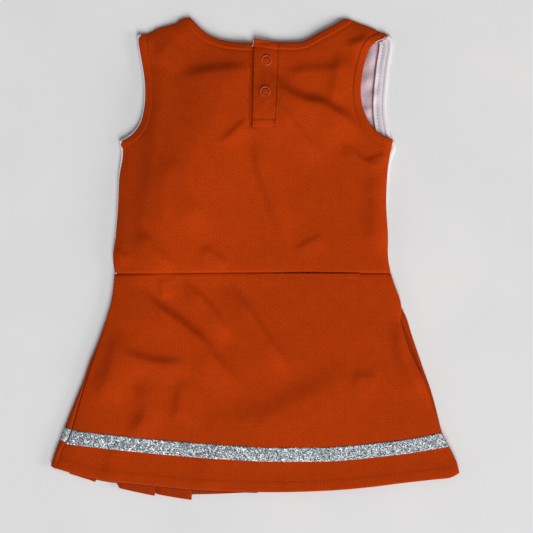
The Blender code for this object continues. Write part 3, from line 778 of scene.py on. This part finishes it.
def make_front_bodice():
    surface = coons(
        route("waist"),
        route("shoulder_left", 0.2, "neck_front", 0.8, "front_shoulder_right"),
        route("front_side_left", 0.5, "front_armhole_left"),
        route("front_side_right", 0.5, "front_armhole_right"),
    )

    def height(x, y):
        lift = front_height(x, y)
        for name in ("front_armhole_left", "front_armhole_right", "neck_front"):
            lift = lift + 0.35 * bell(away_from(name, x, y), 3.0)
        return lift

    us, vs = spacing(228, 2.2, SEAM_STEPS), spacing(200, 2.2, SEAM_STEPS)
    # One face takes the greyed, pink white as painted shade and painted reflection; the other face and
    # the rims take the plain white.
    front = panel("front_bodice_cloth", surface, us, vs, height, WHITE_INSIDE_PAINTED_SHADE)
    front.data.materials.append(WHITE)
    front.modifiers["thickness"].material_offset = 1
    front.modifiers["thickness"].material_offset_rim = 1
    take_place(front, "bodice", "white_knit", "front_bodice")


def facing_height(x, y, name, inner):
    """A turned facing on the front, with its stitched groove and its raw edge, which curls a little."""
    away = away_from(name, x, y)
    puff = 0.5 * bell(away - 5.6, 1.4)
    groove = 0.3 * bell(away - 8.3, 0.6)
    curl = 0.5 * bell(away - inner, 0.9)
    return front_height(x, y) + 0.95 + puff - groove + curl


def rim_height(x, y, name):
    """The rounded roll of white knit along the front's turned edges. It stands up more at the left."""
    away = away_from(name, x, y)
    stands = 2.0 if name.endswith("left") else 0.7
    return front_height(x, y) + stands + 1.3 * np.sqrt(np.clip(1 - ((away - 1.8) / 1.9) ** 2, 0, 1))


def make_facings():
    below = raised(panel_height, -(KNIT / 2 + 0.3 + FACING / 2))
    neck = LINES["neck"][::-1]
    for name, line, start, end in (
        ("back_neck_facing_left", neck, 0.585, 0.97),
        ("back_neck_facing_right", neck, 0.03, 0.40),
        ("back_armhole_facing_left", LINES["armhole_left"][::-1], 0.03, 0.95),
        ("back_armhole_facing_right", LINES["armhole_right"], 0.05, 0.93),
    ):
        piece = strip(name + "_cloth", line, start, end, 0.9, 7.6, below, ORANGE)
        take_place(piece, "bodice", "orange_knit", name)
    for name, line_name, flip, inner in (
        ("front_neck_facing", "neck_front", True, 10.5),
        ("front_armhole_facing_left", "front_armhole_left", True, 10.5),
        ("front_armhole_facing_right", "front_armhole_right", False, 11.6),
    ):
        line = LINES[line_name][::-1] if flip else LINES[line_name]
        height = partial(facing_height, name=line_name, inner=inner)
        piece = strip(name + "_cloth", line, 0.0, 1.0, 3.6, inner, height, WHITE_FACING_PAINTED_SHADE, 0.5, 2.0, 18)
        take_place(piece, "bodice", "white_knit", name)
        rim = partial(rim_height, name=line_name)
        piece = strip(name + "_rim", line, 0.0, 1.0, -0.05, 3.7, rim, WHITE, 0.5, 2.0, 12)
        take_place(piece, "bodice", "white_knit")


def make_painted_shadow_edges():
    """Overlocked raw edges that peep out under the back's hem and the right armhole's facing; their dark
    thread is painted shadow.
    """
    name, height = "hem_painted_shadow_threads", raised(body_height, -1.6)
    hem = strip(name, LINES["hem"], 0.09, 0.5, -1.5, 1.2, height, HEM_PAINTED_SHADOW_THREAD, 0.4, 2.0, 6)
    take_place(hem, "skirt", "thread")
    name, height = "front_armhole_painted_shadow_threads", raised(front_height, 1.25)
    armhole = LINES["front_armhole_right"]
    edge = strip(name, armhole, 0.0, 0.99, 11.3, 12.7, height, FACING_PAINTED_SHADOW_THREAD, 0.4, 2.0, 6)
    take_place(edge, "bodice", "thread")


def make_side_rims():
    """The front's side edges, which roll out a little past the back's."""
    sides = (("left", LINES["front_side_left"][::-1]), ("right", LINES["front_side_right"]))
    for side, line in sides:
        rim = raised(partial(rim_height, name="front_side_" + side), -0.4)
        piece = strip(f"front_side_rim_{side}", line, 0.02, 1.0, -0.05, 3.7, rim, WHITE, 0.5, 2.0, 12)
        take_place(piece, "bodice", "white_knit")


def make_placket():
    """The free flap, its stitched-down end, and the underlap that carries the studs."""

    def flap_place(u, v):
        top = 196.0
        for _ in range(2):  # its sides lean and its top slopes, so each depends on the other
            y = PLACKET_SPLIT + (top - PLACKET_SPLIT) * v
            x = placket_x(u, y)
            top = flap_top(x)
        return x, y, flap_height(x, y)

    def tail_place(u, v):
        y = PLACKET_FOOT + (PLACKET_SPLIT - PLACKET_FOOT) * v
        x = placket_x(u, y, 0.8)
        return x, y, tail_height(x, y)

    across = spacing(21, 0.8, SEAM_STEPS)
    flap = cloth("placket_flap_cloth", across, spacing(70, 1.0, EDGE_STEPS), flap_place, ORANGE)
    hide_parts("placket_overlap", "flap_neck_facing")
    hinge_x = frame["joints"][0]["pos_m"][0]
    start, end = (hinge_x + FLAP_TURN, 0, 0), (hinge_x - FLAP_TURN, 0, 0)
    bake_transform(flap)
    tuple(start)
    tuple(end)
    tail = cloth("placket_tail_cloth", across, spacing(8.4, 0.6), tail_place, ORANGE, 0.7)
    take_place(tail, "bodice", "orange_knit", "placket_overlap_tail")

    underlap_left, underlap_width = -11, 31

    def under_place(u, v):
        y = PLACKET_FOOT + 1.5 + (UNDERLAP_TOP - 0.2 - PLACKET_FOOT - 1.5) * v
        x = underlap_left + underlap_width * u
        step = smooth_step((x - placket_left(y) + 1.0) / 4.0)
        return x, y, body_height(x, y) - 2.3 - 0.9 * step + turned_edge(UNDERLAP_TOP - y, 0.6, 6.5, 0.25)

    under_us = spacing(underlap_width, 0.9)
    under = cloth("placket_underlap_cloth", under_us, spacing(74, 1.0, EDGE_STEPS), under_place, ORANGE)
    take_place(under, "bodice", "orange_knit", "placket_underlap")


def turned(name, profile, centre, material):
    """A round piece turned from a section of (radius, height) points."""
    section = bmesh.new()
    points = [section.verts.new(Vector((r, 0, z)) * MM) for r, z in profile]
    edges = [section.edges.new(pair) for pair in zip(points, points[1:] + points[:1])]
    bmesh.ops.spin(
        section, geom=points + edges, cent=(0, 0, 0), axis=(0, 0, 1), angle=math.tau, steps=48,
        use_merge=True,
    )
    bmesh.ops.remove_doubles(section, verts=section.verts, dist=1e-7)
    bmesh.ops.recalc_face_normals(section, faces=section.faces)
    bmesh.ops.translate(section, vec=Vector(centre) * MM, verts=section.verts)
    return finished(mesh_of(name, section), material)


def round_ring(inner, outer, thick, points=14):
    """A ring's section: a flat foot and a rounded top."""
    middle, half = (inner + outer) / 2, (outer - inner) / 2
    return [(middle + half * math.cos(a), thick * math.sin(a)) for a in np.linspace(0, math.pi, points)]


CAP_DOME = ((0.0, -0.1), (3.0, -0.1), (2.95, 0.25), (2.4, 0.5), (1.3, 0.66), (0.0, 0.7))
SOCKET = ((2.2, -1), (2.2, 0), (4.4, 0), (4.4, -0.5), (3.8, -1))
STUD = ((0, 0), (4.4, 0), (4.4, 0.35), (1.6, 0.45), (1.45, 0.8), (1.7, 1.2), (1.2, 1.5), (0, 1.6))


def make_snaps():
    cap_ring = round_ring(3.45, 4.95, 0.8)
    stud_ring = [(r, -z) for r, z in round_ring(3.35, 4.9, 0.6)]
    for label, (x, y) in zip(("upper", "lower"), SNAPS):
        top = level_at(flap_height, x, y) + KNIT / 2
        low = level_at(body_height, x, y) - 3.2 + KNIT / 2
        for name, section, z, body in (
            ("cap_ring", cap_ring, top - 0.12, "placket_flap"),
            ("socket", SOCKET, top - KNIT - 0.05, "placket_flap"),
            ("stud", STUD, low, "bodice"),
            ("stud_ring", stud_ring, low - KNIT, "bodice"),
        ):
            piece = turned(f"{name}_{label}", section, (x, y, z), ENAMEL)
            take_place(piece, body, "snap_enamel", f"snap_{name}_{label}")
        pushed = turned(f"cap_cloth_{label}", CAP_DOME, (x, y, top - 0.15), ORANGE)
        layer = pushed.data.uv_layers.new(name="cloth")
        for loop, corner in zip(pushed.data.loops, layer.data):
            corner.uv = pushed.data.vertices[loop.vertex_index].co.xy
        take_place(pushed, "placket_flap", "orange_knit")


# --- skirt ---


def join_at_waist(obj, slot, *nodes):
    """Bakes a skirt panel's place into its mesh and hides the CAD nodes that it stands for. The slot is
    not used.
    """
    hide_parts(*nodes)
    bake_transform(obj)


def skirt_surface(hem, side):
    left, right = (route(f"{side}_{end}", reverse=True) for end in ("left", "right"))
    return coons(route(hem), route("waist"), left, right)


def make_back_skirt():
    fine = (0, 0.3, 0.7, 1.2, 2, 3.4, 5, 7, 8.3, 9.0, 9.7, 11)
    us, vs = spacing(310, 1.8, SEAM_STEPS), spacing(SKIRT_LENGTH, 1.6, fine)
    back = panel("back_skirt_cloth", skirt_surface("hem", "back"), us, vs, panel_height, ORANGE)
    join_at_waist(back, "orange_knit", "back_skirt")


def band_sheet(name, line, height, material, thickness, cut_left, cut_right):
    """The glitter tape, from where it crosses the left edge to where it crosses the right."""
    points = at_share(line, np.linspace(0, 1, 600))
    x, y = points.T
    inside = points[(x > x_on(cut_left, y)) & (x < x_on(cut_right, y))]
    us, vs = np.linspace(0, 1, 240), np.linspace(0, 1, 11)
    middle = at_share(inside, us)
    across = leftwards(middle)

    def place(u, v):
        at = np.rint(u * (len(us) - 1)).astype(int)
        lean = (v - 0.5) * BAND_WIDTH
        points = middle[at] + across[at] * lean[:, None]
        ends = np.minimum(u, 1 - u) * length_of(middle)
        slope = np.where(u < 0.5, 0.36, -0.46) * lean * np.exp(-ends / 9)
        x, y = points[:, 0] + slope, points[:, 1]
        return x, y, height(x, y)

    def flat(u, v):
        return u * length_of(middle), v * BAND_WIDTH

    return cloth(name, us, vs, place, material, thickness, flat)


def make_back_band():
    height = raised(panel_height, KNIT / 2 + TAPE / 2 - 0.05)
    name, cuts = "glitter_tape_back_cloth", (LINES["back_left"], LINES["back_right"])
    band = band_sheet(name, LINES["band"], height, GLITTER, TAPE, *cuts)
    take_place(band, "skirt", "glitter_tape", "glitter_tape_back")


# How high a pleat's three layers lie: its face on the floor, its return, and the underlay on top.
FACE, RETURN, UNDERLAY = 0.95, 1.9, 2.9
# Each pleat: the x of its inner and outer folds at the hem, and how far each hangs below the outline.
LEFT_PLEATS = ((-143.9, -167.5, 6.7, 4.0), (-90.2, -121.4, 10.4, 8.2), (-57.2, -86.8, 10.9, 8.8))
RIGHT_PLEATS = ((57, 85, -1, -1), (90, 119, -1, -1), (132, 154, -1, -1))
PLEATS_FROM, PLEATS_TO = -184.0, 183.2  # the pleated panel's ends at the hem
WRAP_END = -178.6  # how far its left end wraps on to the back
TAPE_RUN = 740  # length that the front tape's glitter is spread over


def pleat(inner, outer, inner_drop, outer_drop, way, slip):
    """One pleat at the hem, from its inner fold on top, back under itself, and round its outer fold."""
    return [
        (inner + 0.9 * way, UNDERLAY, inner_drop),
        (inner, (UNDERLAY + RETURN) / 2, inner_drop),
        (inner + 0.9 * way, RETURN, inner_drop - slip),
        (outer - 0.6 * way, RETURN, outer_drop + slip),
        (outer, (RETURN + FACE) / 2, outer_drop),
        (outer - 0.6 * way, FACE, outer_drop - slip),
    ]


def pleat_path():
    """The front skirt's cloth at the hem, from left to right: x, height, and how far it hangs below
    the outline. The pleats turn the other way right of the middle."""
    path = [
        (WRAP_END, 4.3, 1.6), (-181.2, 4.3, 0.8), (-183.4, 3.4, 0), (PLEATS_FROM, 2.3, 0),
        (-183.2, FACE, 0), (-176.5, FACE, 1.0), (-169.0, UNDERLAY, 1.6),
    ]
    for folds, after in zip(LEFT_PLEATS, [*LEFT_PLEATS[1:], None]):
        path += pleat(*folds, -1, 0.2)
        if after:
            path += [(after[1] - 3.2, FACE, folds[2] - 2.2), (after[1] - 0.2, UNDERLAY, after[3])]
    path += [(-55.4, FACE, 6.2), (0, FACE, 1.6), (40, FACE, -1)]
    for folds, after in zip(RIGHT_PLEATS, [*RIGHT_PLEATS[1:], None]):
        path += pleat(*folds, 1, 0)[::-1]
        if after:
            path += [(folds[1] + 0.2, UNDERLAY, -1), (folds[1] + 2.6, FACE, -1)]
    path += [(155, UNDERLAY, -1), (159, FACE, -1), (PLEATS_TO, FACE, -1)]
    return np.array(path, float)


def make_front_skirt():
    surface = skirt_surface("front_hem", "front")
    path = pleat_path()
    run = np.concatenate([[0], np.cumsum(np.hypot(np.diff(path[:, 0]), np.diff(path[:, 1])))])
    between = (np.linspace(a, b, max(2, round((b - a) / 3.0))) for a, b in zip(run, run[1:]))
    us = np.unique(np.concatenate([run, *between])) / run[-1]

    def place(u, v):
        at = u * run[-1]
        x, z, drop = (np.interp(at, run, path[:, i]) for i in range(3))
        sx, sy = surface((x - PLEATS_FROM) / (PLEATS_TO - PLEATS_FROM), v)
        seam_x, edge_x = (x_on(LINES[name], sy) for name in ("back_left", "front_left"))
        share = (x - PLEATS_FROM) / (WRAP_END - PLEATS_FROM)
        wrapped = edge_x + (np.maximum(seam_x - 0.5, edge_x + 0.8) - edge_x) * share
        sx = np.where(at < run[3], wrapped, sx)
        rise = 0.25 * np.sin(sx / 21 + 3 * v) * (1 - v)
        return sx, sy - drop * (1 - v) ** 1.5, z + np.abs(rise)

    def flat(u, v):
        return u * run[-1], v * SKIRT_LENGTH

    vs = spacing(SKIRT_LENGTH, 2.6, (0, 0.4, 1.0, 2.0, 4.0, 6.5, 8.4, 9.0, 9.6, 11))
    front = cloth("front_skirt_cloth", us, vs, place, PLEATS_PAINTED_SHADE, PLEAT_KNIT, flat)
    join_at_waist(front, "orange_knit", "front_skirt")
    return place, us


def make_front_band(place, us):
    """The glitter tape on the pleated panel's outer side, which is folded with it."""
    middle, half = 0.172, BAND_WIDTH / SKIRT_LENGTH / 2
    vs = np.linspace(middle - half, middle + half, 8)

    def taped(u, v):
        x, y, z = place(u, v)
        step = 0.002
        bx, _, bz = place(np.clip(u - step, 0, 1), v)
        ax, _, az = place(np.clip(u + step, 0, 1), v)
        run = np.hypot(ax - bx, az - bz)
        out = PLEAT_KNIT / 2 + TAPE / 2
        return x + (az - bz) / run * out, y, z - (ax - bx) / run * out

    def flat(u, v):
        return u * TAPE_RUN, v * SKIRT_LENGTH

    band = cloth("glitter_tape_front_cloth", us, vs, taped, GLITTER, TAPE, flat)
    take_place(band, "skirt", "glitter_tape", "glitter_tape_front")


# --- stitching ---


def add_thread(shape, x, y, z, angle, long, wide):
    """One small plump thread, lying at an angle."""
    turn = Matrix.Rotation(angle, 4, "Z")
    scale = Matrix.Diagonal((long * MM, wide * MM, wide * MM, 1))
    where = Matrix.Translation(Vector((x, y, z)) * MM) @ turn @ scale
    bmesh.ops.create_icosphere(shape, subdivisions=1, radius=1.0, matrix=where)


def level_at(height, x, y):
    """A height function's value at one point."""
    return float(height(np.array([x]), np.array([y]))[0])


def stitches(name, rows, body, material, slot, lift=KNIT / 2, pitch=3.2, long=1.15, wide=0.26):
    """Rows of stitches, each a small plump thread. A row is a line and the height function under it."""
    thread = bmesh.new()
    for line, height in rows:
        count = max(1, round(length_of(line) / pitch))
        places = at_share(line, (np.arange(count) + 0.5) / count)
        ahead = at_share(line, np.clip((np.arange(count) + 0.6) / count, 0, 1))
        for (x, y), (ax, ay) in zip(places, ahead):
            z = level_at(height, x, y) + lift
            add_thread(thread, x, y, z, math.atan2(ay - y, ax - x), long, wide)
    return take_place(finished(mesh_of(name, thread), material), body, slot)


def make_stitching():
    neck = offset_line(LINES["neck"][::-1], STITCH_LINE)[::-1]
    neck_left = neck[neck[:, 0] < placket_left(187.0) - 1.0]
    neck_right = neck[neck[:, 0] > placket_right(187.0) + 1.0]
    left = offset_line(LINES["armhole_left"][::-1], STITCH_LINE)
    right = offset_line(LINES["armhole_right"], STITCH_LINE)
    left, right = left[left[:, 1] < 198], right[right[:, 1] < 196]
    right_up = np.array([(placket_right(y) - 0.1, y) for y in np.linspace(PLACKET_FOOT + 0.8, 188, 40)])
    foot = np.array([(x, PLACKET_FOOT + 0.9) for x in (placket_left(119) + 1, placket_right(119) - 0.6)])
    bar = np.array([(x, PLACKET_SPLIT - 1.4) for x in (placket_left(127) + 1, placket_right(127) - 0.6)])
    edge = np.array([(placket_left(y) + 2, y) for y in np.linspace(PLACKET_FOOT + 1, 126, 5)])
    rows = [(line, panel_height) for line in (neck_left, neck_right, left, right)]
    rows += [(line, tail_height) for line in (foot, bar, edge)]
    stitches("bodice_topstitching", rows, "bodice", ORANGE_THREAD, "thread", KNIT / 2 - 0.05)
    rows = [(right_up, flap_height)]
    stitches("placket_seam_topstitching", rows, "bodice", ORANGE_THREAD, "thread", KNIT / 2 + 0.05)
    flap_xs = np.linspace(placket_left(188) + 1, placket_right(188) - 1, 12)
    flap_neck = np.array([(x, flap_top(x) - STITCH_LINE) for x in flap_xs])
    flap_edge = np.array([(placket_left(y) + 2, y) for y in np.linspace(128, 188, 20)])
    rows = [(flap_neck, flap_height), (flap_edge, flap_height)]
    stitches("flap_topstitching", rows, "placket_flap", ORANGE_THREAD, "thread", KNIT / 2 - 0.05)
    hem = offset_line(LINES["hem"], HEM_STITCH_LINE)
    hem = hem[(hem[:, 0] > -176) & (hem[:, 0] < 176)]
    stitches("hem_topstitching", [(hem, panel_height)], "skirt", ORANGE_THREAD, "thread", KNIT / 2 - 0.12)
    rows = [(offset_line(LINES["front_armhole_right"], 8.3), raised(front_height, 1.0))]
    stitches("front_armhole_topstitching", rows, "bodice", WHITE_THREAD_PAINTED_SHADE, "white_knit", 0.1)
    tip = np.array([(107.6, 194.2), (111, 195.8), (114.4, 197), (117, 198.8)])
    corner = np.array([(-1.4, 196.2), (-1.9, 193.4), (-2.9, 190.2)])
    rows = [(tip, panel_height), (corner, panel_height)]
    size = {"pitch": 1.9, "long": 0.85, "wide": 0.5}
    stitches("white_seam_ends", rows, "bodice", WHITE_THREAD, "white_knit", KNIT / 2 + 0.9, **size)


def make_bartack():
    """A small dense zigzag tack at the box's lower right corner."""
    tack = bmesh.new()
    x, low, high = 17.4, PLACKET_FOOT + 1.2, PLACKET_SPLIT - 1.6
    for i, y in enumerate(np.linspace(low, high, 13)):
        angle = math.radians(24 if i % 2 else -24)
        add_thread(tack, x, y, level_at(tail_height, x, y) + 0.5, angle, 0.8, 0.3)
    obj = finished(mesh_of("placket_bartack_threads", tack), ORANGE_THREAD)
    take_place(obj, "bodice", "thread", "placket_bartack")


# --- the pieces that stay as they are ---


def finish_inner_seams():
    """The seam allowances and the label inside keep their shape and get their cloth."""
    for name, node in frame["nodes"].items():
        if node.hide_render:
            continue
        for slot in node.material_slots:
            slot.material = SATIN if name == "care_label" else SEAM


# --- floor, light and camera ---


def make_stage():
    plane = bmesh.new()
    bmesh.ops.create_grid(plane, x_segments=1, y_segments=1, size=8)
    # Matt laminated board: nearly flat, with a faint unevenness.
    board = patterned_material(
        "pale_matt_board", "TexNoise", {"Scale": 9.0, "Detail": 3.0},
        (0.3, "dededf"), (0.7, "e4e3e3"), Roughness=0.75, Specular_IOR_Level=0.2,
    )
    floor = finished(mesh_of("floor", plane), board)
    floor.location.z = -0.0003


def add_light(name, place, size, watts, colour):
    """A round soft light that faces the dress."""
    light = bpy.data.lights.new(name, "AREA")
    light.shape = "DISK"
    light.size = size
    light.energy = watts
    light.color = linear(colour)[:3]
    obj = bpy.data.objects.new(name, light)
    obj.location = place
    obj.rotation_euler = (-Vector(place)).to_track_quat("-Z", "Y").to_euler()
    bpy.context.scene.collection.objects.link(obj)


def make_light():
    world = bpy.data.worlds.new("room")
    world.use_nodes = True
    background = world.node_tree.nodes["Background"]
    background.inputs["Color"].default_value = linear("fbfbfd")
    background.inputs["Strength"].default_value = 0.22
    bpy.context.scene.world = world
    add_light("softbox", (2.6, -9.9, 9.0), 9.6, 1850, "ffffff")
    add_light("window_left", (-3.8, -0.6, 1.15), 1.2, 14, "f4f8ff")
    add_light("window_right", (3.8, -0.9, 1.25), 1.2, 66, "fffaf2")
    bpy.context.scene.view_settings.view_transform = "Standard"


def make_camera():
    camera = bpy.data.cameras.new("camera")
    camera.lens = 75
    camera.sensor_width = 36
    obj = bpy.data.objects.new("camera", camera)
    obj.location = (0.0099, -0.0072, 1.003)
    bpy.context.scene.collection.objects.link(obj)
    bpy.context.scene.camera = obj


make_camera()
make_light()
make_stage()
make_back_bodice()
make_front_bodice()
make_facings()
make_painted_shadow_edges()
make_side_rims()
make_placket()
make_snaps()
make_back_skirt()
make_back_band()
make_front_band(*make_front_skirt())
make_stitching()
make_bartack()
finish_inner_seams()
